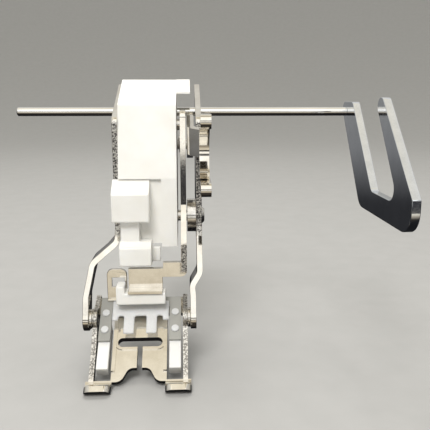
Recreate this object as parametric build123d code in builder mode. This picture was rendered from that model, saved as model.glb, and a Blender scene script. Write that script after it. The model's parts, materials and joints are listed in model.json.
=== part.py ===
"""Walking presser foot with a sliding seam guide, in millimetres, +Z up, +X to the right.

The origin lies on the presser bar axis, at the middle of the clamp that holds the foot.
The needle works in front of it, towards -Y.
"""

import os
from math import cos, radians, sin, tan

from build123d import *

os.makedirs("parts", exist_ok=True)

# Presser bar, its clamp and the clamp screw
bar_d = 6.0
bar_clearance = 0.05
bar_channel_clearance = 0.6
clamp_wall = 2.2
clamp_top_z = 10.0
clamp_bottom_z = -12.0
clamp_depth = 5.0
screw_slot_w = 4.6
screw_slot_z = -2.0
clamp_slot_depth = 3.75

# Side plates, pressed from one thickness of sheet
sheet = 1.5
bend_r = 2.4
front_y = -20.5
plate_depth = 22.0
plate_front_top_z = 11.8
plate_top_slope = 25.0
plate_rear_bottom_z = -12.0
plate_bottom_z = -20.0
left_plate_x = -6.75
right_plate_x = 16.3
leg_start_z = -16.5
leg_knee_z = -25.5
leg_knee_reach = 6.5
leg_rear_z = -29.0
left_bend_top_z = -20.0
left_bend_low_z = -24.8
left_leg_flare = 1.6
right_bend_top_z = -27.4
right_bend_low_z = -30.4
right_leg_flare = 0.2
plate_corner_r = 2.0

# Sole hinge
pivot_reach = 8.0
pivot_z = -39.0
pivot_d = 3.0
pivot_ear_r = 2.6
leg_end_r = 3.0
droop = 38.0
running_clearance = 0.05
washer_d = 5.0
washer_t = 0.75
washer_side_gap = 0.05
rivet_head_r = 2.4
rivet_head_h = 0.8
rivet_taper = 40.0

# Sole plate, measured along its own length from the hinge, front negative
sole_w = 24.4
sole_sheet = 1.5
sole_drop = 4.5
sole_front = -16.0
sole_rear = 8.0
flange_t = 1.2
flange_front_h = 2.0
flange_rear_h = 3.0
rib_w = 0.9
rib_h = 0.8
rib_front = -13.4
rib_rear = 2.5
pad_slot_rear = 3.0
needle_slot_margin = 1.2
needle_slot_w = 2.5
needle_slot_s = -5.6
needle_rim_w = 0.7
needle_rim_h = 0.45
slit_w = 1.3
notch_top_half_w = 2.6
notch_tip_r = 1.9
notch_apex_s = -12.4
notch_land_w = 2.5
notch_flare_r = 2.2
toe_w = 6.4
toe_overhang = 0.8
toe_corner_r = 1.6
toe_curl_r = 2.6
toe_root = 0.4
toe_tip_h = 1.4
toe_curl_angle = 90.0

# Feeder that slides in the sole
feeder_t = 0.8
feeder_h = -1.0
pad_w = 3.0
pad_side_gap = 0.5
pad_core_gap = 0.6
pad_front = -13.5
pad_rear = -1.0
pad_below_sole = 0.4
pad_tooth_pitch = 1.6
pad_tooth_flank = 0.6
pad_tooth_count = 7
pad_corner = 0.8
strip_front = -6.2
feeder_rear = 6.4
feeder_cross_w = 3.0
comb_t = 0.8
comb_front = 0.5
comb_rear = 4.9
comb_gap = 0.15
comb_corner_r = 0.6
comb_arm_w = 1.6
comb_arm_front = -0.8
finger_side_gap = 1.5
finger_mid_gap = 3.1
finger_front = -4.6
stud_d = 1.4
stud_clearance = 0.02
stud_head_d = 2.1
stud_head_h = 0.4
stud_rows = (1.7, -3.1)
yoke_t = 0.8
yoke_inset = 1.6
yoke_w = 5.2
yoke_rise = 8.2
yoke_bend_r = 0.6
yoke_rim_l = 1.3
yoke_window_w = 3.3
yoke_window_h = 2.5
yoke_window_drop = 2.4
yoke_corner_r = 1.6

# Housing and the front guide moulding
housing_right_x = 9.8
housing_top_front_y = 2.0
housing_top_front_z = 15.5
housing_top_rear_y = -3.7
housing_top_rear_z = 22.5
housing_nape_top_z = 13.5
housing_nape_low_z = 11.0
housing_ridge_reach = 2.5
housing_ridge_z = -3.2
housing_bottom_z = -20.6
housing_belly_y = 8.0
housing_belly_rear_z = -14.0
housing_rear_y = -1.5
housing_edge_r = 0.8
housing_ridge_r = 2.4
housing_recess = 0.8
housing_step_x = 5.7
housing_step_h = 0.8
lug_right_x = 13.5
lug_bottom_z = 18.1
lug_front_y = -12.0
guide_block_reach = 6.5
guide_upper_left_x = -6.8
guide_upper_right_x = 2.8
guide_upper_top_z = -3.4
guide_upper_front_z = -6.8
guide_upper_bottom_z = -14.0
guide_neck_left_x = -4.8
guide_neck_right_x = 0.0
guide_neck_reach = 4.5
guide_lower_left_x = -5.2
guide_lower_right_x = 3.1
guide_lower_top_z = -19.4
guide_lower_front_z = -20.8
guide_lower_bottom_z = -25.6
guide_edge_r = 0.5
guide_peg_w = 2.2
guide_peg_t = 1.2
guide_peg_bottom_z = -25.2
guide_peg_top_z = -21.4

# Lower cross pin and its spacer
cross_pin_d = 3.0
cross_pin_y = -15.5
cross_pin_z = -14.5
spacer_d = 9.0
spacer_gap = 0.2
pin_seat_depth = 3.0

# Carriage arm that swings the feeder
arm_in_x = 10.7
arm_pivot_y = -12.5
arm_pivot_z = 10.0
arm_pivot_d = 3.0
arm_pivot_r = 4.0
arm_front_inset = 1.2
arm_w = 7.4
arm_slope_top_z = -10.9
arm_slope_low_z = -20.0
arm_low_z = -19.0
arm_swing_slot = 6.4
arm_slot_clearance = 0.5
cross_top_z = -24.7
cross_left_top_z = -26.3
cross_step_x = 6.0
cross_corner_r = 1.6
cross_bottom_z = -28.6
cross_reach = 6.0
tongue_left_x = -3.0
tongue_right_x = 5.8
tongue_bottom_z = -31.4
lip_reach = 3.0
lip_t = 0.8
bar_block_left_x = -6.1
bar_block_right_x = 6.6
bar_block_h = 3.0
bar_rear_h = 1.0
bar_sole_w = 1.6
bar_block_front = 8.6
bar_block_rear = 4.0
bar_horn_w = 2.2
bar_horn_h = 1.9
bar_edge_r = 0.4

# Fork lever, driven by the needle clamp, and its return spring
lever_in_x = 12.5
lever_t = 1.8
lever_pivot_y = -3.5
lever_pivot_z = 4.0
lever_pivot_d = 3.0
lever_hub_r = 4.0
lever_arm_high_z = 9.9
lever_shoulder_y = -13.5
lever_shoulder_z = 12.6
lever_waist_y = -9.8
lever_waist_z = 9.4
lever_tab_reach = 1.7
lever_tab_lean = 2.0
lever_tab_low_z = 3.0
lever_tab_drop = 1.0
lever_bend_r = 1.6
fork_in_x = 15.6
fork_t = 2.5
fork_centre_reach = 11.8
fork_centre_z = 3.9
fork_mid_r = 7.85
fork_prong_w = 3.4
fork_prong_l = 6.4
fork_tip_r = 1.6
spring_wire = 0.5
spring_r = 2.1
spring_pitch = 0.55
spring_turns = 2
spring_side_gap = 0.3
spring_rear_tail = 3.5
spring_front_tail = 4.0

# Seam guide
rod_d = 2.4
rod_y = -6.5
rod_z = 13.3
rod_left_x = -34.2
rod_end_chamfer = 0.3
guide_x = 58.0
guide_t = 2.0
guide_rear_top_y = 19.8
guide_top_z = 16.0
guide_leg_top_w = 11.5
guide_rear_bottom_y = -2.1
guide_bottom_z = -11.0
guide_front_bottom_y = -36.0
guide_front_low_z = -3.3
guide_front_top_y = -15.0
guide_tip_top_z = 17.2
guide_tip_in_y = -9.6
guide_inner_front_y = -28.4
guide_inner_rear_y = -11.0
guide_inner_low_z = -5.6
guide_corner_r = 5.0
guide_inner_r = 2.6
guide_tip_r = 2.0

# Derived places
pivot_y = front_y - pivot_reach
rear_y = front_y + plate_depth
clamp_back_y = rear_y
left_inner_x = left_plate_x + sheet
right_inner_x = right_plate_x - sheet
half_sole_w = sole_w / 2
half_leg_span = half_sole_w + washer_side_gap + washer_t
pad_out_x = half_sole_w - flange_t - pad_side_gap
pad_in_x = pad_out_x - pad_w
core_half_w = pad_in_x - pad_core_gap
notch_mouth_half_w = core_half_w - notch_land_w
comb_half_w = pad_in_x - comb_gap
finger_w = comb_half_w - comb_arm_w - finger_side_gap - finger_mid_gap / 2
finger_offset_x = (finger_mid_gap + finger_w) / 2
yoke_left_x = yoke_inset - pad_out_x
needle_slot_l = 2 * (core_half_w - needle_slot_margin)
toe_out_x = half_sole_w + toe_overhang
slope_rise = tan(radians(plate_top_slope))
housing_front_y = front_y + housing_top_front_y
housing_rise = (housing_top_rear_z - housing_top_front_z) / (housing_top_rear_y - housing_front_y)
clamp_right_x = bar_d / 2 + clamp_wall
through = sole_w + plate_depth + pivot_reach

sole_top = Plane(
    origin=(0, pivot_y, pivot_z),
    x_dir=(1, 0, 0),
    z_dir=(0, -sin(radians(droop)), cos(radians(droop))),
)


def sole_side(x):
    """Plane along the sole's length at x, with (length, height) from the hinge."""
    along = (0, cos(radians(droop)), sin(radians(droop)))
    return Plane(origin=(x, pivot_y, pivot_z), x_dir=along, z_dir=(1, 0, 0))


def sole_front_view(x):
    """Plane across the sole at x, seen from its toes, with (width, height) from the hinge."""
    towards_toes = (0, -cos(radians(droop)), -sin(radians(droop)))
    return Plane(origin=(x, pivot_y, pivot_z), x_dir=(1, 0, 0), z_dir=towards_toes)


def finish(builder, label):
    """Label a finished piece and write it."""
    builder.part.label = label
    export_step(builder.part, f"parts/{label}.step")


def side_plate(upper_x, leg_x, knee_x, bend_top_z, bend_low_z):
    """Side plate: a bent strip seen from the front, trimmed to the outline seen from the side."""
    top_z = plate_front_top_z + plate_depth * slope_rise
    with BuildPart() as plate:
        with BuildSketch(Plane.XZ):
            with BuildLine():
                FilletPolyline(
                    (upper_x, top_z),
                    (upper_x, bend_top_z),
                    (knee_x, bend_low_z),
                    (leg_x, pivot_z + 2 * leg_end_r),
                    (leg_x, pivot_z - 2 * leg_end_r),
                    radius=bend_r,
                )
            trace(line_width=sheet)
        extrude(amount=through, both=True)
        with BuildSketch(Plane.YZ):
            with BuildLine():
                Polyline(
                    (front_y, plate_front_top_z),
                    (rear_y, top_z),
                    (rear_y, plate_rear_bottom_z),
                    (front_y + plate_depth / 2, plate_bottom_z),
                    (front_y + leg_end_r, plate_bottom_z - sheet),
                    (front_y - sheet, leg_rear_z),
                    (pivot_y + leg_end_r, pivot_z),
                    (pivot_y - leg_end_r, pivot_z),
                    (front_y - leg_knee_reach, leg_knee_z),
                    (front_y, leg_start_z),
                    close=True,
                )
            make_face()
            fillet(vertices().filter_by_position(Axis.Y, plate_rear_bottom_z, through), plate_corner_r)
            with Locations((pivot_y, pivot_z)):
                Circle(leg_end_r)
                Circle(pivot_d / 2, mode=Mode.SUBTRACT)
            with Locations((cross_pin_y, cross_pin_z)):
                Circle(cross_pin_d / 2, mode=Mode.SUBTRACT)
            with Locations((rod_y, rod_z)):
                Circle(rod_d / 2 + running_clearance, mode=Mode.SUBTRACT)
        extrude(amount=through, both=True, mode=Mode.INTERSECT)
    return plate


def open_slot():
    """The clamp screw's slot, round at the presser bar and open to the rear."""
    with Locations((0, screw_slot_z)):
        Circle(screw_slot_w / 2)
        Rectangle(through, screw_slot_w, align=(Align.MIN, Align.CENTER))


# Left side plate, with the slot that lets the clamp screw in from the left
left_plate = side_plate(
    left_plate_x + sheet / 2,
    -half_leg_span - sheet / 2,
    left_leg_flare - half_leg_span - sheet / 2,
    left_bend_top_z,
    left_bend_low_z,
)
with BuildPart() as left_side_plate:
    add(left_plate.part)
    with BuildSketch(Plane.YZ.offset(left_plate_x)):
        open_slot()
    extrude(amount=sheet, mode=Mode.SUBTRACT)
finish(left_side_plate, "left_side_plate")

# Right side plate, with the lever pin's hole
right_plate = side_plate(
    right_plate_x - sheet / 2,
    half_leg_span + sheet / 2,
    half_leg_span + sheet / 2 - right_leg_flare,
    right_bend_top_z,
    right_bend_low_z,
)
with BuildPart() as right_side_plate:
    add(right_plate.part)
    with BuildSketch(Plane.YZ.offset(right_inner_x)):
        with Locations((lever_pivot_y, lever_pivot_z)):
            Circle(lever_pivot_d / 2)
    extrude(amount=sheet, mode=Mode.SUBTRACT)
finish(right_side_plate, "right_side_plate")

# Clamp that takes the presser bar
with BuildPart() as shank_clamp:
    with BuildSketch(Plane.XY.offset(clamp_bottom_z)):
        with BuildLine():
            Polyline(
                (left_inner_x, -clamp_depth),
                (clamp_right_x, -clamp_depth),
                (clamp_right_x, clamp_back_y),
                (left_inner_x, clamp_back_y),
                close=True,
            )
        make_face()
        Circle(bar_d / 2 + bar_clearance, mode=Mode.SUBTRACT)
        Rectangle(bar_d + 2 * bar_clearance, through, align=(Align.CENTER, Align.MIN), mode=Mode.SUBTRACT)
    extrude(amount=clamp_top_z - clamp_bottom_z)
    with BuildSketch(Plane.YZ.offset(left_inner_x)):
        open_slot()
    extrude(amount=clamp_slot_depth, mode=Mode.SUBTRACT)
finish(shank_clamp, "shank_clamp")

# White housing between the plates, open behind for the presser bar
with BuildPart() as mechanism_housing:
    with BuildSketch(Plane.YZ.offset(left_inner_x)):
        with BuildLine():
            Polyline(
                (housing_front_y, housing_top_front_z),
                (housing_top_rear_y, housing_top_rear_z),
                (housing_top_rear_y, housing_nape_top_z),
                (housing_rear_y, housing_nape_low_z),
                (housing_rear_y, housing_belly_rear_z),
                (front_y + housing_belly_y, housing_bottom_z),
                (front_y - housing_ridge_reach, housing_bottom_z),
                (front_y - housing_ridge_reach, housing_ridge_z),
                close=True,
            )
        make_face()
    extrude(amount=housing_right_x - left_inner_x)
    front_edges = edges().filter_by(Axis.X).group_by(Axis.Y)[0]
    fillet(front_edges.sort_by(Axis.Z)[-1], housing_ridge_r)
    fillet(edges().filter_by(Axis.X).sort_by(Axis.Z)[-2:], housing_edge_r)
    with BuildSketch(Plane.YZ.offset(housing_right_x)):
        with BuildLine():
            Polyline(
                (lug_front_y, lug_bottom_z),
                (lug_front_y, housing_top_rear_z + (lug_front_y - housing_top_rear_y) * housing_rise),
                (housing_top_rear_y - housing_edge_r, housing_top_rear_z - housing_edge_r * housing_rise),
                (housing_top_rear_y - housing_edge_r, lug_bottom_z),
                close=True,
            )
        make_face()
    extrude(amount=lug_right_x - housing_right_x)
    with BuildSketch(Plane.XY.offset(housing_bottom_z)):
        with Locations(((housing_right_x + housing_step_x) / 2, front_y)):
            Rectangle(housing_right_x - housing_step_x, 2 * housing_ridge_reach)
    extrude(amount=-housing_step_h)
    with BuildSketch(Plane.XZ.offset(housing_ridge_reach - front_y)):
        with Locations((left_inner_x, housing_bottom_z)):
            recess_w = housing_step_x - left_inner_x
            Rectangle(recess_w, guide_upper_top_z - housing_bottom_z, align=(Align.MIN, Align.MIN))
    extrude(amount=-housing_recess, mode=Mode.SUBTRACT)
    with BuildSketch(Plane.XY.offset(clamp_bottom_z)):
        with Locations((left_inner_x, 0)):
            Rectangle(clamp_right_x - left_inner_x, 2 * clamp_depth, align=(Align.MIN, Align.CENTER))
    extrude(amount=clamp_top_z - clamp_bottom_z, mode=Mode.SUBTRACT)
    with BuildSketch(Plane.XY):
        Circle(bar_d / 2 + bar_channel_clearance)
    extrude(amount=through, both=True, mode=Mode.SUBTRACT)
    with BuildSketch(Plane.YZ):
        with Locations((rod_y, rod_z)):
            Circle(rod_d / 2 + running_clearance)
        with Locations((cross_pin_y, cross_pin_z)):
            Circle(cross_pin_d / 2)
    extrude(amount=through, both=True, mode=Mode.SUBTRACT)
    with BuildSketch(Plane.YZ.offset(housing_right_x)):
        with Locations((lever_pivot_y, lever_pivot_z)):
            Circle(lever_pivot_d / 2)
        with Locations((arm_pivot_y, arm_pivot_z)):
            Circle(arm_pivot_d / 2)
    extrude(amount=-pin_seat_depth, mode=Mode.SUBTRACT)
finish(mechanism_housing, "mechanism_housing")

# White front guide: an upper block, a neck and a lower block
with BuildPart() as front_guide:
    face_y = front_y - housing_ridge_reach + housing_recess
    tip_y = front_y - guide_block_reach
    with BuildSketch(Plane.YZ.offset(guide_upper_left_x)):
        with BuildLine():
            Polyline(
                (face_y, guide_upper_top_z),
                (tip_y, guide_upper_front_z),
                (tip_y, guide_upper_bottom_z),
                (face_y, guide_upper_bottom_z),
                close=True,
            )
        make_face()
    extrude(amount=guide_upper_right_x - guide_upper_left_x)
    with BuildSketch(Plane.YZ.offset(guide_lower_left_x)):
        with BuildLine():
            Polyline(
                (face_y, guide_lower_top_z),
                (front_y - guide_neck_reach, guide_lower_top_z),
                (tip_y, guide_lower_front_z),
                (tip_y, guide_lower_bottom_z),
                (face_y, guide_lower_bottom_z),
                close=True,
            )
        make_face()
    extrude(amount=guide_lower_right_x - guide_lower_left_x)
    fillet(edges().group_by(Axis.Y)[0], guide_edge_r)
    with BuildSketch(Plane.XY.offset(guide_lower_top_z)):
        with Locations(((guide_neck_left_x + guide_neck_right_x) / 2, face_y)):
            neck_w = guide_neck_right_x - guide_neck_left_x
            Rectangle(neck_w, face_y - front_y + guide_neck_reach, align=(Align.CENTER, Align.MAX))
    extrude(amount=guide_upper_bottom_z - guide_lower_top_z)
    with BuildSketch(Plane.XZ.offset(-face_y)):
        with Locations((guide_lower_right_x, guide_peg_bottom_z)):
            Rectangle(guide_peg_w, guide_peg_top_z - guide_peg_bottom_z, align=(Align.MIN, Align.MIN))
    extrude(amount=guide_peg_t)
finish(front_guide, "front_guide")


def domed_pin(name, axis_y, axis_z, shank_d, ends, heads):
    """Pin along X between two ends, with a domed rivet head at each named end."""
    start, stop = ends
    with BuildPart() as pin:
        with BuildSketch(Plane.YZ.offset(start)):
            with Locations((axis_y, axis_z)):
                Circle(shank_d / 2)
        extrude(amount=stop - start)
        for head_x, way in heads:
            with BuildSketch(Plane.YZ.offset(head_x)):
                with Locations((axis_y, axis_z)):
                    Circle(rivet_head_r)
            extrude(amount=way * rivet_head_h, taper=rivet_taper)
    finish(pin, name)


domed_pin("lower_cross_pin", cross_pin_y, cross_pin_z, cross_pin_d,
          (left_plate_x, right_plate_x), ((left_plate_x, -1), (right_plate_x, 1)))
domed_pin("lever_pin", lever_pivot_y, lever_pivot_z, lever_pivot_d,
          (housing_right_x - pin_seat_depth, right_plate_x), ((right_plate_x, 1),))
domed_pin("carriage_pin", arm_pivot_y, arm_pivot_z, arm_pivot_d,
          (housing_right_x - pin_seat_depth, arm_in_x + sheet), ())
for side, way in (("left", -1), ("right", 1)):
    outer_x = way * (half_leg_span + sheet)
    inner_x = way * (half_sole_w - flange_t)
    domed_pin(f"sole_pivot_{side}", pivot_y, pivot_z, pivot_d,
              (min(inner_x, outer_x), max(inner_x, outer_x)), ())
    with BuildPart() as washer:
        with BuildSketch(Plane.YZ.offset(way * (half_sole_w + washer_side_gap))):
            with Locations((pivot_y, pivot_z)):
                Circle(washer_d / 2)
                Circle(pivot_d / 2, mode=Mode.SUBTRACT)
        extrude(amount=way * washer_t)
    finish(washer, f"pivot_washer_{side}")

# Spacer on the lower cross pin, beside the right plate
with BuildPart() as pin_spacer:
    with BuildSketch(Plane.YZ.offset(arm_in_x + sheet + spacer_gap)):
        with Locations((cross_pin_y, cross_pin_z)):
            Circle(spacer_d / 2)
            Circle(cross_pin_d / 2, mode=Mode.SUBTRACT)
    extrude(amount=right_inner_x - arm_in_x - sheet - spacer_gap)
finish(pin_spacer, "pin_spacer")

# Fork lever: an arm inside the right plate, a tab bent round its edge, and a fork open to the front
with BuildPart() as fork_lever:
    arm_mid_x = lever_in_x + lever_t / 2
    tab_root_y = front_y - lever_tab_reach - lever_t / 2
    tab_tip_y = tab_root_y - lever_tab_lean
    with BuildSketch(Plane.XY):
        with BuildLine():
            FilletPolyline(
                (arm_mid_x, lever_pivot_y + lever_hub_r),
                (arm_mid_x, tab_root_y),
                (fork_in_x + fork_t / 2, tab_tip_y),
                radius=lever_bend_r,
            )
        trace(line_width=lever_t)
    extrude(amount=through, both=True)
    with BuildSketch(Plane.YZ):
        with BuildLine():
            Polyline(
                (lever_pivot_y, lever_pivot_z + lever_hub_r),
                (lever_waist_y, lever_waist_z),
                (lever_shoulder_y, lever_shoulder_z),
                (tab_root_y, lever_arm_high_z),
                (tab_tip_y - lever_t, lever_arm_high_z - lever_tab_drop),
                (tab_tip_y - lever_t, lever_tab_low_z - lever_tab_drop),
                (tab_root_y, lever_tab_low_z),
                (lever_pivot_y, lever_pivot_z - lever_hub_r),
                close=True,
            )
        make_face()
        with Locations((lever_pivot_y, lever_pivot_z)):
            Circle(lever_hub_r)
            Circle(lever_pivot_d / 2 + running_clearance, mode=Mode.SUBTRACT)
    extrude(amount=through, both=True, mode=Mode.INTERSECT)
    fork_side = Plane(
        origin=(fork_in_x, front_y - fork_centre_reach, fork_centre_z),
        x_dir=(0, -1, 0),
        z_dir=(1, 0, 0),
    )
    with BuildSketch(fork_side):
        with BuildLine():
            upper = Line((fork_prong_l, fork_mid_r), (0, fork_mid_r))
            bow = ThreePointArc(upper @ 1, (-fork_mid_r, 0), (0, -fork_mid_r))
            Line(bow @ 1, (fork_prong_l, -fork_mid_r))
        trace(line_width=fork_prong_w)
        fillet(vertices().group_by(Axis.X)[-1], fork_tip_r)
    extrude(amount=fork_t)
finish(fork_lever, "fork_lever")

# Return spring: square wire wound on the lever pin, with a straight tail at each end
with BuildPart() as lever_spring:
    with BuildLine() as coil:
        Helix(
            spring_pitch,
            spring_pitch * spring_turns,
            spring_r,
            center=(housing_right_x + spring_side_gap + spring_wire / 2, lever_pivot_y, lever_pivot_z),
            direction=(1, 0, 0),
        )
    with BuildSketch(Plane(origin=coil.line @ 0, z_dir=coil.line % 0)):
        Rectangle(spring_wire, spring_wire)
    sweep(path=coil.line, is_frenet=True)
    for end, tail_l in ((0, -spring_rear_tail), (1, spring_front_tail)):
        with BuildSketch(Plane(origin=coil.line @ end, z_dir=coil.line % end)):
            Rectangle(spring_wire, spring_wire)
        extrude(amount=tail_l)
finish(lever_spring, "lever_spring")

# Carriage arm: a hanging arm, bent across the front into a tongue with a lip
with BuildPart() as carriage_arm:
    cross_y = front_y - cross_reach
    with BuildSketch(Plane.YZ.offset(arm_in_x)):
        with BuildLine():
            Polyline(
                (front_y + arm_front_inset, arm_pivot_z + arm_pivot_r),
                (arm_pivot_y, arm_pivot_z + arm_pivot_r),
                (arm_pivot_y + arm_pivot_r, arm_pivot_z),
                (front_y + arm_front_inset + arm_w, arm_low_z),
                (cross_y + arm_w / 2, cross_bottom_z),
                (cross_y, cross_bottom_z),
                (cross_y, arm_slope_low_z),
                (front_y + arm_front_inset, arm_slope_top_z),
                close=True,
            )
        make_face()
        fillet(vertices().group_by(Axis.Y)[-1], plate_corner_r)
        with Locations((arm_pivot_y, arm_pivot_z)):
            Circle(arm_pivot_d / 2 + running_clearance, mode=Mode.SUBTRACT)
        with Locations((cross_pin_y, cross_pin_z)):
            SlotOverall(arm_swing_slot, cross_pin_d + 2 * arm_slot_clearance, mode=Mode.SUBTRACT)
    extrude(amount=sheet)
    with BuildSketch(Plane.XZ.offset(-cross_y - sheet)):
        with BuildLine():
            Polyline(
                (tongue_left_x, cross_left_top_z),
                (cross_step_x, cross_left_top_z),
                (cross_step_x, cross_top_z),
                (arm_in_x + sheet, cross_top_z),
                (arm_in_x + sheet, cross_bottom_z),
                (tongue_right_x, cross_bottom_z),
                (tongue_right_x, tongue_bottom_z),
                (tongue_left_x, tongue_bottom_z),
                close=True,
            )
        make_face()
    extrude(amount=sheet)
    outer_corner = (arm_in_x + sheet, cross_y, cross_bottom_z)
    fillet(edges().filter_by(Axis.Y).sort_by_distance(outer_corner)[0], cross_corner_r)
    with BuildSketch(Plane.XY.offset(tongue_bottom_z)):
        with Locations(((tongue_left_x + tongue_right_x) / 2, cross_y + sheet)):
            Rectangle(tongue_right_x - tongue_left_x, lip_reach + sheet, align=(Align.CENTER, Align.MAX))
    extrude(amount=-lip_t)
finish(carriage_arm, "carriage_arm")

# White bar under the tongue's lip, with a horn on its left
with BuildPart() as carriage_bar:
    bar_top_z = tongue_bottom_z - lip_t
    with BuildSketch(Plane.YZ.offset(bar_block_left_x)):
        with BuildLine():
            Polyline(
                (front_y - bar_block_rear, bar_top_z),
                (front_y - bar_block_front, bar_top_z),
                (front_y - bar_block_front, bar_top_z - bar_block_h),
                (front_y - bar_block_front + bar_sole_w, bar_top_z - bar_block_h),
                (front_y - bar_block_rear, bar_top_z - bar_rear_h),
                close=True,
            )
        make_face()
    extrude(amount=bar_block_right_x - bar_block_left_x)
    with BuildSketch(Plane.XY.offset(bar_top_z)):
        with Locations((bar_block_left_x, front_y - bar_block_front)):
            Rectangle(bar_horn_w, bar_block_front - bar_block_rear, align=(Align.MIN, Align.MIN))
    extrude(amount=bar_horn_h)
    fillet(edges().group_by(Axis.Y)[0], bar_edge_r)
finish(carriage_bar, "carriage_bar")

# Sole plate: sheet with pad slots, needle slot, slit, notch, flanges and curled toes
with BuildPart() as sole_plate:
    with BuildSketch(sole_top.offset(-sole_drop)):
        with Locations((0, (sole_front + sole_rear) / 2)):
            Rectangle(sole_w, sole_rear - sole_front)
        slot_w = half_sole_w - flange_t - core_half_w
        with Locations(*[(way * (core_half_w + slot_w / 2), pad_slot_rear) for way in (-1, 1)]):
            Rectangle(slot_w, pad_slot_rear - sole_front, align=(Align.CENTER, Align.MAX), mode=Mode.SUBTRACT)
        with Locations((0, needle_slot_s)):
            SlotOverall(needle_slot_l, needle_slot_w, mode=Mode.SUBTRACT)
        with BuildLine():
            Polyline(
                (-notch_top_half_w, notch_apex_s),
                (notch_top_half_w, notch_apex_s),
                (notch_mouth_half_w, sole_front),
                (-notch_mouth_half_w, sole_front),
                close=True,
            )
        make_face(mode=Mode.SUBTRACT)
        for half_w, corner_s, corner_r in (
            (notch_top_half_w, notch_apex_s, notch_tip_r),
            (notch_mouth_half_w, sole_front, notch_flare_r),
        ):
            for way in (-1, 1):
                fillet(vertices().sort_by_distance((way * half_w, corner_s))[0], corner_r)
        slit_l = needle_slot_s - notch_apex_s
        with Locations((0, needle_slot_s)):
            Rectangle(slit_w, slit_l, align=(Align.CENTER, Align.MAX), mode=Mode.SUBTRACT)
    extrude(amount=sole_sheet)
    with BuildSketch(sole_top.offset(sole_sheet - sole_drop)):
        with Locations((0, needle_slot_s)):
            SlotOverall(needle_slot_l + 2 * needle_rim_w, needle_slot_w + 2 * needle_rim_w)
            SlotOverall(needle_slot_l, needle_slot_w, mode=Mode.SUBTRACT)
            Rectangle(slit_w, needle_slot_w, align=(Align.CENTER, Align.MAX), mode=Mode.SUBTRACT)
    extrude(amount=needle_rim_h)
    for way in (-1, 1):
        with BuildSketch(sole_top.offset(sole_sheet - sole_drop)):
            with Locations((way * (core_half_w - rib_w / 2), rib_rear)):
                Rectangle(rib_w, rib_rear - rib_front, align=(Align.CENTER, Align.MAX))
        extrude(amount=rib_h)
        with BuildSketch(sole_side(way * half_sole_w)):
            with BuildLine():
                Polyline(
                    (sole_front, -sole_drop),
                    (sole_rear, -sole_drop),
                    (sole_rear, flange_rear_h - sole_drop),
                    (pivot_ear_r, 0),
                    (-pivot_ear_r, 0),
                    (sole_front / 2, flange_front_h - sole_drop + sole_sheet / 2),
                    (sole_front, flange_front_h - sole_drop),
                    close=True,
                )
            make_face()
            Circle(pivot_ear_r)
            Circle(pivot_d / 2 + running_clearance, mode=Mode.SUBTRACT)
        extrude(amount=-way * flange_t)
        with BuildPart():
            with BuildSketch(sole_side(way * toe_out_x)):
                with BuildLine():
                    mid_h = sole_sheet / 2 - sole_drop
                    base = Line((sole_front + toe_root, mid_h), (sole_front, mid_h))
                    curl = JernArc(base @ 1, base % 1, toe_curl_r, -toe_curl_angle)
                    Line(curl @ 1, (curl @ 1) + (0, toe_tip_h - sole_sheet / 2))
                trace(line_width=sole_sheet)
            extrude(amount=-way * toe_w)
            toe_h = mid_h + toe_curl_r + toe_tip_h - sole_sheet / 2 + sole_drop
            with BuildSketch(sole_front_view(way * (toe_out_x - toe_w / 2))):
                with Locations((0, toe_h / 2 - sole_drop)):
                    RectangleRounded(toe_w, toe_h, toe_corner_r)
            extrude(amount=through, mode=Mode.INTERSECT)
finish(sole_plate, "sole_plate")

# Feeder plate: a cross strip with two legs, drilled for the studs
strip_mid_x = pad_in_x + pad_w / 2
stud_places = [(way * strip_mid_x, row) for way in (-1, 1) for row in stud_rows]
with BuildPart() as feeder_plate:
    with BuildSketch(sole_top.offset(feeder_h)):
        with Locations((0, feeder_rear)):
            Rectangle(2 * (pad_in_x + pad_w), feeder_cross_w, align=(Align.CENTER, Align.MAX))
        with Locations(*[(way * strip_mid_x, feeder_rear) for way in (-1, 1)]):
            Rectangle(pad_w, feeder_rear - strip_front, align=(Align.CENTER, Align.MAX))
        with Locations(*stud_places):
            Circle(stud_d / 2 + stud_clearance, mode=Mode.SUBTRACT)
    extrude(amount=feeder_t)
finish(feeder_plate, "feeder_plate")

# Feed pads, toothed below, hung under the feeder plate's legs
for side, way in (("left", -1), ("right", 1)):
    with BuildPart() as feed_pad:
        with BuildSketch(sole_side(way * pad_in_x)):
            with BuildLine():
                Polyline(
                    (pad_front, feeder_h),
                    (pad_rear, feeder_h),
                    (pad_rear, -sole_drop - pad_below_sole),
                    (pad_front + pad_corner, -sole_drop - pad_below_sole),
                    (pad_front, -sole_drop),
                    close=True,
                )
            make_face()
            tooth_line = -sole_drop - pad_below_sole
            first_tooth = (pad_front + pad_rear - (pad_tooth_count - 1) * pad_tooth_pitch) / 2
            tooth_places = [first_tooth + index * pad_tooth_pitch for index in range(pad_tooth_count)]
            with Locations(*[(place, tooth_line) for place in tooth_places]):
                Triangle(a=pad_tooth_pitch / 2, b=pad_tooth_flank, c=pad_tooth_flank,
                         align=(Align.CENTER, Align.MIN), mode=Mode.SUBTRACT)
        extrude(amount=way * pad_w)
    finish(feed_pad, f"feed_pad_{side}")

# Studs that fix the pads to the feeder plate
for index, place in enumerate(stud_places, start=1):
    with BuildPart() as stud:
        with BuildSketch(sole_top.offset(feeder_h)):
            with Locations(place):
                Circle(stud_d / 2)
        extrude(amount=feeder_t)
        with BuildSketch(sole_top.offset(feeder_h + feeder_t)):
            with Locations(place):
                Circle(stud_head_d / 2)
        extrude(amount=stud_head_h, taper=rivet_taper / 2)
    finish(stud, f"feeder_stud_{index}")

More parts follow.
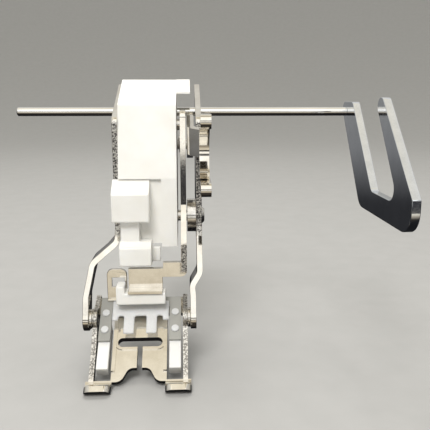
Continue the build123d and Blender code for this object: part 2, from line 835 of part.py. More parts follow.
# Translucent comb on the cross strip, with two springy fingers
with BuildPart() as feeder_comb:
    with BuildSketch(sole_top.offset(feeder_h + feeder_t)):
        with Locations((0, comb_rear)):
            Rectangle(2 * comb_half_w, comb_rear - comb_front, align=(Align.CENTER, Align.MAX))
        with Locations(*[(way * finger_offset_x, comb_front) for way in (-1, 1)]):
            Rectangle(finger_w, comb_front - finger_front, align=(Align.CENTER, Align.MAX))
        with Locations(*[(way * (comb_half_w - comb_arm_w / 2), comb_front) for way in (-1, 1)]):
            Rectangle(comb_arm_w, comb_front - comb_arm_front, align=(Align.CENTER, Align.MAX))
        fillet(vertices().filter_by_position(Axis.Y, comb_front, comb_front), comb_corner_r)
    extrude(amount=comb_t)
finish(feeder_comb, "feeder_comb")

# Yoke that stands up from the cross strip at the left, with a window in it
with BuildPart() as feeder_yoke:
    foot_h = feeder_h + feeder_t + yoke_t / 2
    bend_s = feeder_rear - yoke_t / 2
    top_s = bend_s + yoke_rise * sin(radians(droop))
    top_h = foot_h + yoke_rise * cos(radians(droop))
    with BuildSketch(sole_side(yoke_left_x)):
        with BuildLine():
            FilletPolyline(
                (comb_rear + comb_gap, foot_h),
                (bend_s, foot_h),
                (top_s, top_h),
                radius=yoke_bend_r,
            )
        trace(line_width=yoke_t)
    extrude(amount=yoke_w)
    yoke_mid_x = yoke_left_x + yoke_w / 2
    yoke_top_z = pivot_z + top_s * sin(radians(droop)) + top_h * cos(radians(droop))
    with BuildSketch(Plane.XZ):
        with Locations((yoke_mid_x, yoke_top_z)):
            RectangleRounded(yoke_w, 2 * yoke_rise, yoke_corner_r, align=(Align.CENTER, Align.MAX))
        with Locations((yoke_left_x + yoke_rim_l, yoke_top_z - yoke_window_drop)):
            Rectangle(yoke_window_w, yoke_window_h, align=(Align.MIN, Align.MAX), mode=Mode.SUBTRACT)
    extrude(amount=through, both=True, mode=Mode.INTERSECT)
finish(feeder_yoke, "feeder_yoke")

# Seam guide: the rod that slides through the plates, and the flat guide on its end
with BuildPart() as guide_rod:
    with BuildSketch(Plane.YZ.offset(rod_left_x)):
        with Locations((rod_y, rod_z)):
            Circle(rod_d / 2)
    extrude(amount=guide_x - rod_left_x)
    chamfer(faces().sort_by(Axis.X)[0].edges(), rod_end_chamfer)
finish(guide_rod, "guide_rod")

with BuildPart() as guide_plate:
    with BuildSketch(Plane.YZ.offset(guide_x)):
        with BuildLine():
            Polyline(
                (front_y + guide_rear_top_y, guide_top_z),
                (front_y + guide_rear_bottom_y, guide_bottom_z),
                (front_y + guide_front_bottom_y, guide_bottom_z),
                (front_y + guide_front_bottom_y, guide_front_low_z),
                (front_y + guide_front_top_y, guide_tip_top_z),
                (front_y + guide_tip_in_y, guide_tip_top_z),
                (front_y + guide_inner_front_y, guide_inner_low_z),
                (front_y + guide_inner_rear_y, guide_inner_low_z),
                (front_y + guide_rear_top_y - guide_leg_top_w, guide_top_z),
                close=True,
            )
        make_face()
        fillet(vertices().filter_by_position(Axis.Y, guide_inner_low_z, guide_inner_low_z), guide_inner_r)
        fillet(vertices().filter_by_position(Axis.Y, guide_top_z, guide_tip_top_z), guide_tip_r)
        fillet(vertices().filter_by_position(Axis.Y, guide_bottom_z, guide_bottom_z), guide_corner_r)
        fillet(vertices().filter_by_position(Axis.Y, guide_front_low_z, guide_front_low_z), guide_corner_r)
    extrude(amount=guide_t)
finish(guide_plate, "guide_plate")
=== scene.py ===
# %% [markdown]
# # A walking presser foot, dressed
# The solids of the foot are already measured and packed, so this lesson only gives them their looks.
# The imported model is loaded first and stays where it is.
# Its size is noted at once, and sets the floor's height and the lamps' aim.

import json
import math

import bmesh
import bpy
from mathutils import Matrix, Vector

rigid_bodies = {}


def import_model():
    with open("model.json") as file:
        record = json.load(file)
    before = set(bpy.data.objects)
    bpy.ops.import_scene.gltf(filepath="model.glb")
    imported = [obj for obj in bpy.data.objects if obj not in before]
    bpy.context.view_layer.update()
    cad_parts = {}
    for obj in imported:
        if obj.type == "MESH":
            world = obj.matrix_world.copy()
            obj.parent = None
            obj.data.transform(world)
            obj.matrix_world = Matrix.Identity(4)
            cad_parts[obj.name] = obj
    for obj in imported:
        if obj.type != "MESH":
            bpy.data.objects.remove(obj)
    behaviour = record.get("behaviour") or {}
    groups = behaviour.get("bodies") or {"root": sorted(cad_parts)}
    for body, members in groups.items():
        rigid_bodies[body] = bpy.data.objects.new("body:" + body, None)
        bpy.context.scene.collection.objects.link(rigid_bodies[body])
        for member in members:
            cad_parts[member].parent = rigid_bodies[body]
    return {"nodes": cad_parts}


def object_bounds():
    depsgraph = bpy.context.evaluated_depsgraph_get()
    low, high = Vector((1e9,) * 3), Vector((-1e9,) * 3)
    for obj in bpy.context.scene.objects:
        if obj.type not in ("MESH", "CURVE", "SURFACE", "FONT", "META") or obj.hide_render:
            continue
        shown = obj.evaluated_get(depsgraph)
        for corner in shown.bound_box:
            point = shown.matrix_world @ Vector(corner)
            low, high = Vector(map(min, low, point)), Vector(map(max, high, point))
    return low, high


for leftover in list(bpy.data.objects):
    bpy.data.objects.remove(leftover)

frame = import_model()
foot_nodes = frame["nodes"]
bare_low, bare_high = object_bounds()
MM = 0.001
print("pieces loaded:", len(foot_nodes))

# %% [markdown]
# ## Edges that catch the light
# No edge on a real pressing or moulding is perfectly sharp.
# A thin bevel on every sharp edge gives the bright line that tells the eye how thick the sheet is.
# The loaded meshes are split into triangles, so a weld and a planar dissolve come first,
# and the bevel then has clean edges to follow.
# All of it is done with modifiers, so the solids stay as they are.

# %% Soft edges
WELD_REACH = 0.001 * MM
FLAT_ANGLE = math.radians(0.4)
SHARP_ANGLE = math.radians(32)


def shade_smooth_group():
    """Geometry nodes that shade a whole piece smooth."""
    group = bpy.data.node_groups.new("shade_smooth", "GeometryNodeTree")
    group.interface.new_socket("Geometry", in_out="INPUT", socket_type="NodeSocketGeometry")
    group.interface.new_socket("Geometry", in_out="OUTPUT", socket_type="NodeSocketGeometry")
    start = group.nodes.new("NodeGroupInput")
    smooth = group.nodes.new("GeometryNodeSetShadeSmooth")
    end = group.nodes.new("NodeGroupOutput")
    group.links.new(start.outputs[0], smooth.inputs["Geometry"])
    group.links.new(smooth.outputs[0], end.inputs[0])
    return group


SMOOTH = shade_smooth_group()


def soften_edges(piece, width_mm, segments=2):
    """Bevel the sharp edges of one piece and even out its shading."""
    weld = piece.modifiers.new("join_seams", "WELD")
    weld.merge_threshold = WELD_REACH
    flat = piece.modifiers.new("join_flats", "DECIMATE")
    flat.decimate_type = "DISSOLVE"
    flat.angle_limit = FLAT_ANGLE
    bevel = piece.modifiers.new("soft_edges", "BEVEL")
    bevel.width = width_mm * MM
    bevel.segments = segments
    bevel.limit_method = "ANGLE"
    bevel.angle_limit = SHARP_ANGLE
    bevel.use_clamp_overlap = True
    smooth = piece.modifiers.new("smooth", "NODES")
    smooth.node_group = SMOOTH
    even = piece.modifiers.new("even_shading", "WEIGHTED_NORMAL")
    even.keep_sharp = False


PRESSED_EDGE = 0.16
MOULDED_EDGE = 0.3
TURNED_EDGE = 0.1
EDGE_BY_PIECE = {
    "left_side_plate": PRESSED_EDGE,
    "right_side_plate": PRESSED_EDGE,
    "fork_lever": PRESSED_EDGE,
    "carriage_arm": PRESSED_EDGE,
    "sole_plate": PRESSED_EDGE,
    "guide_plate": PRESSED_EDGE,
    "feeder_yoke": PRESSED_EDGE,
    "shank_clamp": MOULDED_EDGE,
    "mechanism_housing": MOULDED_EDGE,
    "front_guide": MOULDED_EDGE,
    "carriage_bar": MOULDED_EDGE,
    "feed_pad_left": MOULDED_EDGE,
    "feed_pad_right": MOULDED_EDGE,
    "feeder_comb": MOULDED_EDGE,
}
for piece_name, piece in foot_nodes.items():
    soften_edges(piece, EDGE_BY_PIECE.get(piece_name, TURNED_EDGE))
print("pieces with soft edges:", len(foot_nodes))

# %% [markdown]
# ## Effects that several finishes share
# Plated steel and moulded plastic both vary a little from place to place.
# Each such effect is a node group with its own inputs, so every finish can set it to its own scale.
# Textures are measured in millimetres, because object coordinates are in metres
# and would make every pattern enormous.

# %% Helpers for node trees
PER_MM = 1.0 / MM


def group_with(name, inputs, outputs):
    """A new shader node group with named sockets, and its two end nodes."""
    group = bpy.data.node_groups.new(name, "ShaderNodeTree")
    for label, kind, value in inputs:
        socket = group.interface.new_socket(label, in_out="INPUT", socket_type=kind)
        socket.default_value = value
    for label, kind in outputs:
        group.interface.new_socket(label, in_out="OUTPUT", socket_type=kind)
    return group, group.nodes.new("NodeGroupInput"), group.nodes.new("NodeGroupOutput")


def millimetre_coordinates(tree):
    """Object coordinates of a piece, in millimetres."""
    place = tree.nodes.new("ShaderNodeTexCoord")
    scaled = tree.nodes.new("ShaderNodeVectorMath")
    scaled.operation = "SCALE"
    scaled.inputs["Scale"].default_value = PER_MM
    tree.links.new(place.outputs["Object"], scaled.inputs[0])
    return scaled.outputs["Vector"]


def math_node(tree, operation, first, second=None):
    """A math node fed by sockets or plain numbers."""
    node = tree.nodes.new("ShaderNodeMath")
    node.operation = operation
    for slot, value in enumerate((first, second)):
        if value is None:
            continue
        if isinstance(value, (int, float)):
            node.inputs[slot].default_value = value
        else:
            tree.links.new(value, node.inputs[slot])
    return node.outputs[0]


def ranged(tree, value, low, high, new_low, new_high):
    """Map a value from one range to another, clamped."""
    node = tree.nodes.new("ShaderNodeMapRange")
    tree.links.new(value, node.inputs["Value"])
    node.inputs["From Min"].default_value = low
    node.inputs["From Max"].default_value = high
    node.inputs["To Min"].default_value = new_low
    node.inputs["To Max"].default_value = new_high
    return node.outputs["Result"]


NOISE_LOW = 0.3
NOISE_HIGH = 0.7


def spread(tree, value, new_low, new_high):
    """Map the middle of a noise, where nearly all of it lies, to a new range."""
    return ranged(tree, value, NOISE_LOW, NOISE_HIGH, new_low, new_high)


def noise(tree, vector, scale, detail, roughness=0.5):
    """A noise texture; the scale may be a socket."""
    node = tree.nodes.new("ShaderNodeTexNoise")
    tree.links.new(vector, node.inputs["Vector"])
    if isinstance(scale, (int, float)):
        node.inputs["Scale"].default_value = scale
    else:
        tree.links.new(scale, node.inputs["Scale"])
    node.inputs["Detail"].default_value = detail
    node.inputs["Roughness"].default_value = roughness
    return node.outputs["Fac"]


print("texture unit: 1 mm =", MM, "m")

# %% [markdown]
# ## Surface drift
# Plating, moulding and turning all leave a faint unevenness: cloudy patches a few millimetres wide
# and a fine grain on top of them. This group gives both, one as a tone for colour,
# the other as a grain for roughness and bump.

# %% Drift group
FLOAT = "NodeSocketFloat"
VECTOR = "NodeSocketVector"


def surface_drift_group():
    """Cloudy tone and fine grain."""
    tree, start, end = group_with(
        "surface_drift",
        (("Cloud Scale", FLOAT, 0.2), ("Grain Scale", FLOAT, 3.0)),
        (("Tone", FLOAT), ("Grain", FLOAT)),
    )
    place = millimetre_coordinates(tree)
    clouds = noise(tree, place, start.outputs["Cloud Scale"], 3.0)
    grain = noise(tree, place, start.outputs["Grain Scale"], 4.0, 0.6)
    tree.links.new(spread(tree, clouds, 0.0, 1.0), end.inputs["Tone"])
    tree.links.new(grain, end.inputs["Grain"])
    return tree


SURFACE_DRIFT = surface_drift_group()
print("group made:", SURFACE_DRIFT.name)

# %% [markdown]
# ## Sheared edges
# A press shears sheet steel: the faces stay bright, but the cut edge is torn and speckled.
# The cut edge is where the surface faces along the sheet, so the group compares the surface normal
# with the sheet's own direction. Two set heights, and a set distance from the middle, bound the torn part.
# Beyond them the edge counts as polished, as on the bent legs.
# The group puts out that mask, and the torn speckle to use there.

# %% Sheared edge group
ALONG_X = (1.0, 0.0, 0.0)
FAR_MM = 100.0
CUT_LEAN = 0.1
FACE_LEAN = 0.3
TEAR_FADE = 0.5
SPECKLE_LOW = 0.42
SPECKLE_HIGH = 0.58


def sheared_edge_group():
    """Mask of a sheet's cut edges, with a torn speckle."""
    tree, start, end = group_with(
        "sheared_edge",
        (
            ("Sheet Direction", VECTOR, ALONG_X),
            ("Speckle Scale", FLOAT, 2.4),
            ("Torn Above", FLOAT, -FAR_MM),
            ("Torn Below", FLOAT, FAR_MM),
            ("Torn Beyond X", FLOAT, -FAR_MM),
        ),
        (("Mask", FLOAT), ("Speckle", FLOAT)),
    )
    facing = tree.nodes.new("ShaderNodeTexCoord")
    along = tree.nodes.new("ShaderNodeVectorMath")
    along.operation = "DOT_PRODUCT"
    tree.links.new(facing.outputs["Normal"], along.inputs[0])
    tree.links.new(start.outputs["Sheet Direction"], along.inputs[1])
    lean = math_node(tree, "ABSOLUTE", along.outputs["Value"])
    cut = ranged(tree, lean, CUT_LEAN, FACE_LEAN, 1.0, 0.0)
    place = millimetre_coordinates(tree)
    parts = tree.nodes.new("ShaderNodeSeparateXYZ")
    tree.links.new(place, parts.inputs[0])
    above = math_node(tree, "SUBTRACT", parts.outputs["Z"], start.outputs["Torn Above"])
    below = math_node(tree, "SUBTRACT", start.outputs["Torn Below"], parts.outputs["Z"])
    off_middle = math_node(tree, "ABSOLUTE", parts.outputs["X"])
    beyond = math_node(tree, "SUBTRACT", off_middle, start.outputs["Torn Beyond X"])
    nearest = math_node(tree, "MINIMUM", math_node(tree, "MINIMUM", above, below), beyond)
    inside = ranged(tree, nearest, -TEAR_FADE, TEAR_FADE, 0.0, 1.0)
    tree.links.new(math_node(tree, "MULTIPLY", cut, inside), end.inputs["Mask"])
    speckle = noise(tree, place, start.outputs["Speckle Scale"], 3.0, 0.6)
    torn = ranged(tree, speckle, SPECKLE_LOW, SPECKLE_HIGH, 0.0, 1.0)
    tree.links.new(torn, end.inputs["Speckle"])
    return tree


SHEARED_EDGE = sheared_edge_group()
print("group made:", SHEARED_EDGE.name)

# %% [markdown]
# ## Finishes
# A finish is one Principled shader. Values that are the same all over are set on its own sockets.
# Only what changes over the surface is linked: colour, roughness and the bump.

# %% Finish helpers
def new_finish(name):
    """An empty node material with its shader."""
    material = bpy.data.materials.new(name)
    material.use_nodes = True
    return material, material.node_tree, material.node_tree.nodes["Principled BSDF"]


def placed_group(tree, group, **values):
    """A group node in a material, with its inputs set by name."""
    node = tree.nodes.new("ShaderNodeGroup")
    node.node_tree = group
    for label, value in values.items():
        node.inputs[label.replace("_", " ")].default_value = value
    return node


def mixed(tree, factor, first, second):
    """A colour mix; each end may be a colour or a socket."""
    node = tree.nodes.new("ShaderNodeMix")
    node.data_type = "RGBA"
    tree.links.new(factor, node.inputs["Factor"])
    for label, value in (("A", first), ("B", second)):
        socket = [s for s in node.inputs if s.name == label and s.type == "RGBA"][0]
        if isinstance(value, tuple):
            socket.default_value = (*value, 1.0)
        else:
            tree.links.new(value, socket)
    return [s for s in node.outputs if s.type == "RGBA"][0]


def bumped(tree, shader, height, strength, depth_mm):
    """Link a height to the shader's normal through a bump."""
    bump = tree.nodes.new("ShaderNodeBump")
    bump.inputs["Strength"].default_value = strength
    bump.inputs["Distance"].default_value = depth_mm * MM
    tree.links.new(height, bump.inputs["Height"])
    tree.links.new(bump.outputs["Normal"], shader.inputs["Normal"])


print("finish helpers ready")

# %% [markdown]
# ## Plated sheet
# The side plates, sole, lever, arm, yoke and guide are pressed from sheet and plated,
# so their faces are nearly mirrors. Nickel is a little warmer than the chrome of the guide.
# Where a cut edge is torn, the sheared group makes it rough and speckled.

# %% Plated sheet
NICKEL = ((0.74, 0.70, 0.63), (0.87, 0.84, 0.78))
CHROME = ((0.74, 0.77, 0.82), (0.84, 0.87, 0.92))
SHEAR_LIGHT = (0.92, 0.90, 0.86)
SHEAR_DARK = (0.06, 0.055, 0.06)
MIRROR_LOW = 0.05
MIRROR_HIGH = 0.11
TORN_ROUGHNESS = 0.3
TORN_BUMP = 0.7
TORN_DEPTH = 0.05
WAVE_SHARE = 0.06


def plated_sheet(name, plating, sheet_direction, shear, **torn_part):
    """Plated sheet steel; shear from 0 to 1 is how torn its cut edges are, within bounds in mm."""
    material, tree, shader = new_finish(name)
    shader.inputs["Metallic"].default_value = 1.0
    drift = placed_group(tree, SURFACE_DRIFT, Cloud_Scale=0.25, Grain_Scale=2.2)
    edge = placed_group(tree, SHEARED_EDGE, Sheet_Direction=sheet_direction, **torn_part)
    torn = math_node(tree, "MULTIPLY", edge.outputs["Mask"], shear)
    face = mixed(tree, drift.outputs["Tone"], *plating)
    speckled = mixed(tree, edge.outputs["Speckle"], SHEAR_DARK, SHEAR_LIGHT)
    tree.links.new(mixed(tree, torn, face, speckled), shader.inputs["Base Color"])
    polish = spread(tree, drift.outputs["Grain"], MIRROR_LOW, MIRROR_HIGH)
    rough = math_node(tree, "MULTIPLY", torn, TORN_ROUGHNESS)
    tree.links.new(math_node(tree, "ADD", polish, rough), shader.inputs["Roughness"])
    height = math_node(tree, "MULTIPLY", edge.outputs["Speckle"], torn)
    waves = math_node(tree, "MULTIPLY", drift.outputs["Grain"], WAVE_SHARE)
    bumped(tree, shader, math_node(tree, "ADD", height, waves), TORN_BUMP, TORN_DEPTH)
    return material


ALONG_Y = (0.0, 1.0, 0.0)
LEG_BEND_Z = -18.4
PLATE_SHOULDER_Z = 11.0
ARM_SLOPE_Z = -20.0
ARM_FOOT_Z = -27.4
ARM_INSIDE_X = 10.7
TOE_TOP_Z = -50.2
FLANGE_INSIDE_X = 10.8
side_plate_finish = plated_sheet(
    "side_plate_nickel", NICKEL, ALONG_X, 1.0, Torn_Above=LEG_BEND_Z, Torn_Below=PLATE_SHOULDER_Z
)
sole_finish = plated_sheet(
    "sole_nickel", NICKEL, ALONG_X, 0.7, Torn_Above=TOE_TOP_Z, Torn_Beyond_X=FLANGE_INSIDE_X
)
arm_finish = plated_sheet(
    "carriage_nickel", NICKEL, ALONG_X, 1.0,
    Torn_Above=ARM_FOOT_Z, Torn_Below=ARM_SLOPE_Z, Torn_Beyond_X=ARM_INSIDE_X,
)
lever_finish = plated_sheet("fork_lever_nickel", NICKEL, ALONG_X, 0.0)
guide_finish = plated_sheet("guide_chrome", CHROME, ALONG_X, 0.03)
yoke_finish = plated_sheet("yoke_nickel", NICKEL, ALONG_Y, 0.0)
plated_finishes = (side_plate_finish, sole_finish, arm_finish, lever_finish, guide_finish, yoke_finish)
print("plated finishes:", len(plated_finishes))

# %% [markdown]
# ## Turned pins and the rod
# Pins and rivets are turned from bar, so their faces carry fine rings round the axis, which runs along X.
# The rod is drawn instead, and has faint lines along its length.
# Each pattern is a group that puts out a height.

# %% Tool marks
def vector_step(tree, operation, first, second):
    """A vector math node between a socket and a fixed vector."""
    node = tree.nodes.new("ShaderNodeVectorMath")
    node.operation = operation
    tree.links.new(first, node.inputs[0])
    node.inputs[1].default_value = second
    return node.outputs["Vector"]


def turned_rings_group():
    """Rings round a piece's own middle, across X."""
    tree, start, end = group_with("turned_rings", (("Ring Scale", FLOAT, 90.0),), (("Height", FLOAT),))
    place = tree.nodes.new("ShaderNodeTexCoord")
    centred = vector_step(tree, "SUBTRACT", place.outputs["Generated"], (0.5, 0.5, 0.5))
    across = vector_step(tree, "MULTIPLY", centred, (0.0, 1.0, 1.0))
    radius = tree.nodes.new("ShaderNodeVectorMath")
    radius.operation = "LENGTH"
    tree.links.new(across, radius.inputs[0])
    turns = math_node(tree, "MULTIPLY", radius.outputs["Value"], start.outputs["Ring Scale"])
    tree.links.new(ranged(tree, math_node(tree, "SINE", turns), -1.0, 1.0, 0.0, 1.0), end.inputs["Height"])
    return tree


def drawn_lines_group():
    """Faint lines along X."""
    tree, start, end = group_with("drawn_lines", (("Line Scale", FLOAT, 3.0),), (("Height", FLOAT),))
    stretched = vector_step(tree, "MULTIPLY", millimetre_coordinates(tree), (0.02, 1.0, 1.0))
    tree.links.new(noise(tree, stretched, start.outputs["Line Scale"], 2.0), end.inputs["Height"])
    return tree


TURNED_RINGS = turned_rings_group()
DRAWN_LINES = drawn_lines_group()
print("groups made:", TURNED_RINGS.name, DRAWN_LINES.name)

# %% [markdown]
# ## Solid steel
# Pins, rod and clamp are solid steel with different polish. The pins are dull from turning,
# the rod is bright and chromed, and the clamp is a satin block with no tool marks, only grain.
# One function makes all three, and takes the marks as a group.

# %% Steel finishes
STEEL_BRIGHT = (0.88, 0.86, 0.82)
STEEL_DULL = (0.66, 0.63, 0.58)
DRAWN_BRIGHT = (0.97, 0.96, 0.94)
DRAWN_DULL = (0.88, 0.87, 0.84)
MARK_BUMP = 0.25
FINE_DEPTH = 0.02


def marked_steel(name, bright, dull, marks, cloud_scale, polish_low, polish_high):
    """Solid steel with cloudy polish and the marks of its making."""
    material, tree, shader = new_finish(name)
    shader.inputs["Metallic"].default_value = 1.0
    drift = placed_group(tree, SURFACE_DRIFT, Cloud_Scale=cloud_scale, Grain_Scale=5.0)
    tree.links.new(mixed(tree, drift.outputs["Tone"], dull, bright), shader.inputs["Base Color"])
    polish = spread(tree, drift.outputs["Grain"], polish_low, polish_high)
    tree.links.new(polish, shader.inputs["Roughness"])
    height = placed_group(tree, marks).outputs["Height"] if marks else drift.outputs["Grain"]
    bumped(tree, shader, height, MARK_BUMP, FINE_DEPTH)
    return material


pin_finish = marked_steel("turned_pin_steel", STEEL_BRIGHT, STEEL_DULL, TURNED_RINGS, 0.5, 0.12, 0.25)
rod_finish = marked_steel("guide_rod_chrome", DRAWN_BRIGHT, DRAWN_DULL, DRAWN_LINES, 0.1, 0.06, 0.14)
cast_finish = marked_steel("clamp_casting", STEEL_BRIGHT, STEEL_DULL, None, 0.4, 0.3, 0.5)
print("steel finishes:", pin_finish.name, rod_finish.name, cast_finish.name)

# %% [markdown]
# ## White moulding
# The housing, the front guide and the bar are white mouldings: bright, slightly glossy,
# and a little translucent at thin edges. Subsurface light softens the shadows inside them.
# The comb is milkier, so light goes deeper into it and evens out the bar's shadow.

# %% Moulded plastics
WHITE_FRESH = (0.93, 0.925, 0.90)
WHITE_SHADED = (0.86, 0.85, 0.81)
PAD_FRESH = (0.82, 0.82, 0.81)
PAD_SHADED = (0.75, 0.75, 0.74)
STUD_FRESH = (0.70, 0.71, 0.71)
STUD_SHADED = (0.58, 0.59, 0.60)
COMB_FRESH = (0.78, 0.785, 0.78)
COMB_SHADED = (0.71, 0.715, 0.71)
SCATTER_TINT = (1.0, 0.95, 0.85)
SKIN_DEEP = 0.8
MILKY_DEEP = 3.0
SKIN_BUMP = 0.15
PLASTIC_IOR = 1.5


def moulded_plastic(name, fresh, shaded, gloss_low, gloss_high, scatter, scatter_mm=SKIN_DEEP):
    """Moulded plastic with a faint orange-peel skin; light goes scatter_mm deep into it."""
    material, tree, shader = new_finish(name)
    shader.inputs["Subsurface Weight"].default_value = scatter
    shader.inputs["Subsurface Radius"].default_value = SCATTER_TINT
    shader.inputs["Subsurface Scale"].default_value = scatter_mm * MM
    shader.inputs["IOR"].default_value = PLASTIC_IOR
    drift = placed_group(tree, SURFACE_DRIFT, Cloud_Scale=0.12, Grain_Scale=4.0)
    tree.links.new(mixed(tree, drift.outputs["Tone"], shaded, fresh), shader.inputs["Base Color"])
    gloss = spread(tree, drift.outputs["Grain"], gloss_low, gloss_high)
    tree.links.new(gloss, shader.inputs["Roughness"])
    bumped(tree, shader, drift.outputs["Grain"], SKIN_BUMP, FINE_DEPTH)
    return material


housing_finish = moulded_plastic("white_moulding", WHITE_FRESH, WHITE_SHADED, 0.3, 0.45, 0.3)
pad_finish = moulded_plastic("feed_pad_white", PAD_FRESH, PAD_SHADED, 0.4, 0.6, 0.4)
stud_finish = moulded_plastic("stud_white", STUD_FRESH, STUD_SHADED, 0.35, 0.5, 0.4)
comb_finish = moulded_plastic("milky_comb", COMB_FRESH, COMB_SHADED, 0.2, 0.35, 1.0, MILKY_DEEP)
print("moulded finishes:", housing_finish.name, pad_finish.name, stud_finish.name, comb_finish.name)

# %% [markdown]
# ## The feeder's strips
# The two strips carry painted light and shade: the right one is painted a little paler than the left one.
# So their colour runs from dark to pale across X, with the same clouds over it.

# %% Strips with painted light and shade
# The left strip carries painted shade and the right one painted light.
STRIP_PAINTED_SHADE = (0.31, 0.31, 0.29)
STRIP_PAINTED_LIGHT = (0.36, 0.36, 0.335)
STRIP_CLOUD = (0.30, 0.30, 0.29)
STRIP_REACH = 9.0
CLOUD_SHARE = 0.3
STRIP_GLOSS_LOW = 0.3
STRIP_GLOSS_HIGH = 0.45


def strip_with_painted_light(name):
    """Dull strip with painted light, paler towards the right, and painted shade towards the left."""
    material, tree, shader = new_finish(name)
    shader.inputs["IOR"].default_value = PLASTIC_IOR
    drift = placed_group(tree, SURFACE_DRIFT, Cloud_Scale=0.3, Grain_Scale=4.0)
    parts = tree.nodes.new("ShaderNodeSeparateXYZ")
    tree.links.new(millimetre_coordinates(tree), parts.inputs[0])
    # Painted light and shade, blended across X from the left strip to the right one.
    painted_light_across = ranged(tree, parts.outputs["X"], -STRIP_REACH, STRIP_REACH, 0.0, 1.0)
    clouded = math_node(tree, "MULTIPLY", drift.outputs["Tone"], CLOUD_SHARE)
    across = mixed(tree, painted_light_across, STRIP_PAINTED_SHADE, STRIP_PAINTED_LIGHT)
    tree.links.new(mixed(tree, clouded, across, STRIP_CLOUD), shader.inputs["Base Color"])
    gloss = spread(tree, drift.outputs["Grain"], STRIP_GLOSS_LOW, STRIP_GLOSS_HIGH)
    tree.links.new(gloss, shader.inputs["Roughness"])
    bumped(tree, shader, drift.outputs["Grain"], SKIN_BUMP, FINE_DEPTH)
    return material


strip_finish = strip_with_painted_light("grey_strip")
print("strip finish:", strip_finish.name)

# %% [markdown]
# ## Giving each piece its finish
# The finish goes into the piece's own material slot, and nothing else about the piece changes.

# %% Assign finishes
FINISH_BY_PIECE = {
    "left_side_plate": side_plate_finish,
    "right_side_plate": side_plate_finish,
    "sole_plate": sole_finish,
    "carriage_arm": arm_finish,
    "fork_lever": lever_finish,
    "guide_plate": guide_finish,
    "feeder_yoke": yoke_finish,
    "guide_rod": rod_finish,
    "shank_clamp": cast_finish,
    "mechanism_housing": housing_finish,
    "front_guide": housing_finish,
    "carriage_bar": housing_finish,
    "feed_pad_left": pad_finish,
    "feed_pad_right": pad_finish,
    "feeder_plate": strip_finish,
    "feeder_comb": comb_finish,
}
for piece_name, piece in foot_nodes.items():
    finish = FINISH_BY_PIECE.get(piece_name, pin_finish)
    if piece_name.startswith("feeder_stud"):
        finish = stud_finish
    piece.material_slots[0].material = finish
print("pieces with a finish:", len(foot_nodes))

# %% [markdown]
# ## The floor
# A plain pale floor lies at the foot's lowest point and curves up far away on all sides,
# so every view has the same calm ground. A flat plane would show its far edge instead.
# The floor is kept out of reflections, which are left to the room.

# %% Floor
MIDDLE_RADIUS = 0.14
FLOOR_RADIUS = 0.7
RIM_HEIGHT = 1.6
RIM_RADIUS = 1.4
FLOOR_SIDES = 96
FLOOR_RINGS = 24
TABLE_FRESH = (0.42, 0.42, 0.415)
TABLE_SHADED = (0.40, 0.40, 0.395)


def pale_floor(height):
    """A round floor whose rim curves up."""
    mesh = bmesh.new()
    rings = []
    profile = [(MIDDLE_RADIUS, 0.0), (FLOOR_RADIUS, 0.0)]
    for step in range(1, FLOOR_RINGS + 1):
        turn = math.radians(90) * step / FLOOR_RINGS
        profile.append((FLOOR_RADIUS + RIM_RADIUS * math.sin(turn), RIM_RADIUS * (1 - math.cos(turn))))
    profile.append((FLOOR_RADIUS + RIM_RADIUS, RIM_HEIGHT))
    for radius, rise in profile:
        ring = []
        for side in range(FLOOR_SIDES):
            turn = 2 * math.pi * side / FLOOR_SIDES
            ring.append(mesh.verts.new((radius * math.cos(turn), radius * math.sin(turn), height + rise)))
        rings.append(ring)
    mesh.faces.new(rings[0])
    for inner, outer in zip(rings, rings[1:]):
        for side in range(FLOOR_SIDES):
            after = (side + 1) % FLOOR_SIDES
            mesh.faces.new((inner[side], outer[side], outer[after], inner[after]))
    data = bpy.data.meshes.new("pale_floor")
    mesh.to_mesh(data)
    mesh.free()
    for face in data.polygons:
        face.use_smooth = True
    floor = bpy.data.objects.new("pale_floor", data)
    bpy.context.scene.collection.objects.link(floor)
    return floor


floor = pale_floor(bare_low.z)
floor.visible_glossy = False
floor_finish = moulded_plastic("pale_table", TABLE_FRESH, TABLE_SHADED, 0.6, 0.75, 0.0)
floor.data.materials.append(floor_finish)
print("floor at", round(bare_low.z / MM, 1), "mm")

# %% [markdown]
# ## Light
# A broad lamp above the foot whitens the tops of the moulding, and one in front lights what faces the camera.
# Both are kept out of reflections, so the metal shows only the room: a cream ceiling, dark low sides,
# and a front with bright and cream bands, which part the flat plates from the bent ones.

# %% Lamps
LAMP_SIZE = 0.3
LAMP_COLOUR = (1.0, 0.98, 0.95)
TOP_LAMP_PLACE = (0.0, 0.2, 0.7)
TOP_LAMP_POWER = 2.6
FRONT_LAMP_PLACE = (-0.1, -0.5, 0.55)
FRONT_LAMP_POWER = 4.2


def soft_lamp(name, place, target, power):
    """A square area lamp aimed at a point."""
    data = bpy.data.lights.new(name, "AREA")
    data.size = LAMP_SIZE
    data.energy = power
    data.color = LAMP_COLOUR
    lamp = bpy.data.objects.new(name, data)
    lamp.location = place
    lamp.rotation_mode = "QUATERNION"
    lamp.rotation_quaternion = (Vector(target) - Vector(place)).to_track_quat("-Z", "Y")
    lamp.visible_camera = False
    lamp.visible_glossy = False
    bpy.context.scene.collection.objects.link(lamp)
    return lamp


foot_middle = (bare_low + bare_high) / 2
lamps = [
    soft_lamp("top_lamp", TOP_LAMP_PLACE, foot_middle, TOP_LAMP_POWER),
    soft_lamp("front_lamp", FRONT_LAMP_PLACE, foot_middle, FRONT_LAMP_POWER),
]
print("lamps:", [lamp.name for lamp in lamps])

# %% [markdown]
# ## The room in the reflections
# The world could hold a photographed sky, but a few bands of light are easier to place.
# Each band is a colour at an elevation in degrees, one list for the front and one for the sides.
# The heading, which is how far a direction points to the front, blends the two lists.

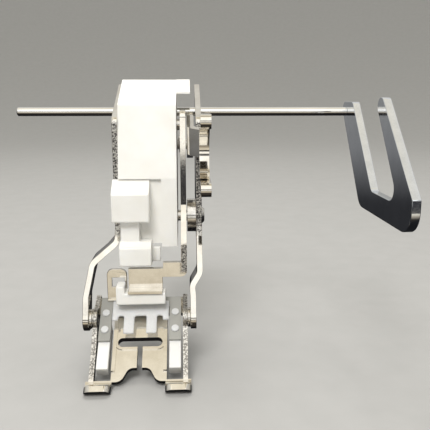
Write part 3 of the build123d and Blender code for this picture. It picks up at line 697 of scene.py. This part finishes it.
# %% Room
ZENITH = (
    (79, (0.90, 0.83, 0.67)),
    (85, (0.40, 0.36, 0.29)),
    (90, (0.32, 0.29, 0.23)),
)
ROOM_SIDES = (
    (-90, (0.010, 0.010, 0.011)),
    (-10, (0.030, 0.030, 0.032)),
    (-5, (0.20, 0.20, 0.20)),
    (0, (0.26, 0.26, 0.25)),
    (18, (0.52, 0.51, 0.48)),
    (60, (0.80, 0.79, 0.75)),
    *ZENITH,
)
ROOM_FRONT = (
    (-40, (0.04, 0.035, 0.03)),
    (-25, (0.50, 0.44, 0.35)),
    (-15, (0.92, 0.85, 0.70)),
    (-12, (0.05, 0.05, 0.055)),
    (-6.5, (0.03, 0.03, 0.035)),
    (-5, (1.35, 1.33, 1.27)),
    (2, (1.1, 1.08, 1.03)),
    (7, (0.05, 0.05, 0.05)),
    (11, (0.05, 0.05, 0.05)),
    (16, (1.35, 1.35, 1.32)),
    (60, (1.30, 1.28, 1.22)),
    (72, (1.15, 1.10, 0.97)),
    *ZENITH,
)
FRONT_FROM = 0.80
FRONT_FULL = 0.90
SMALLEST_RUN = 0.01


def height_ramp(tree, rise, stops):
    """Colours by elevation in degrees, read from the sine of the elevation."""
    ramp = tree.nodes.new("ShaderNodeValToRGB")
    marks = ramp.color_ramp.elements
    marks.remove(marks[1])
    marks[0].position = 0.0
    marks[0].color = (*stops[0][1], 1.0)
    for elevation, colour in stops:
        mark = marks.new((math.sin(math.radians(elevation)) + 1) / 2)
        mark.color = (*colour, 1.0)
    tree.links.new(ranged(tree, rise, -1.0, 1.0, 0.0, 1.0), ramp.inputs["Fac"])
    return ramp.outputs["Color"]


def studio_world():
    """A room with a cream ceiling, dark low sides, and a front with bright and cream bands."""
    world = bpy.data.worlds.new("studio_room")
    world.use_nodes = True
    tree = world.node_tree
    place = tree.nodes.new("ShaderNodeTexCoord")
    parts = tree.nodes.new("ShaderNodeSeparateXYZ")
    tree.links.new(place.outputs["Generated"], parts.inputs[0])
    sides = height_ramp(tree, parts.outputs["Z"], ROOM_SIDES)
    front = height_ramp(tree, parts.outputs["Z"], ROOM_FRONT)
    rise_squared = math_node(tree, "MULTIPLY", parts.outputs["Z"], parts.outputs["Z"])
    run = math_node(tree, "SQRT", math_node(tree, "SUBTRACT", 1.0, rise_squared))
    heading = math_node(tree, "DIVIDE", parts.outputs["Y"], math_node(tree, "MAXIMUM", run, SMALLEST_RUN))
    ahead = ranged(tree, heading, -FRONT_FULL, -FRONT_FROM, 1.0, 0.0)
    tree.links.new(mixed(tree, ahead, sides, front), tree.nodes["Background"].inputs["Color"])
    bpy.context.scene.world = world
    return world


studio_room = studio_world()
bpy.context.scene.view_settings.view_transform = "Standard"
print("room:", studio_room.name)

# %% [markdown]
# ## Camera
# The camera stands in front of the foot, turned a little to one side, and looks slightly down.
# Its place and lens were worked out from the foot's own known sizes in the picture.

# %% Camera
PICTURE_PX = 430
FOCAL_PX = 550
SENSOR_MM = 36.0
CAMERA_PLACE = (12.3, -163.9, 17.0)
CAMERA_AZIMUTH = math.radians(-3)
CAMERA_ELEVATION = math.radians(12)
camera_data = bpy.data.cameras.new("front_camera")
camera_data.sensor_width = SENSOR_MM
camera_data.lens = FOCAL_PX / PICTURE_PX * SENSOR_MM
camera_data.clip_start = MM
camera = bpy.data.objects.new("front_camera", camera_data)
camera.location = Vector(CAMERA_PLACE) * MM
towards = Vector((
    -math.sin(CAMERA_AZIMUTH) * math.cos(CAMERA_ELEVATION),
    math.cos(CAMERA_AZIMUTH) * math.cos(CAMERA_ELEVATION),
    -math.sin(CAMERA_ELEVATION),
))
camera.rotation_mode = "QUATERNION"
camera.rotation_quaternion = towards.to_track_quat("-Z", "Y")
bpy.context.scene.collection.objects.link(camera)
bpy.context.scene.camera = camera
print("lens", round(camera_data.lens, 2), "mm")
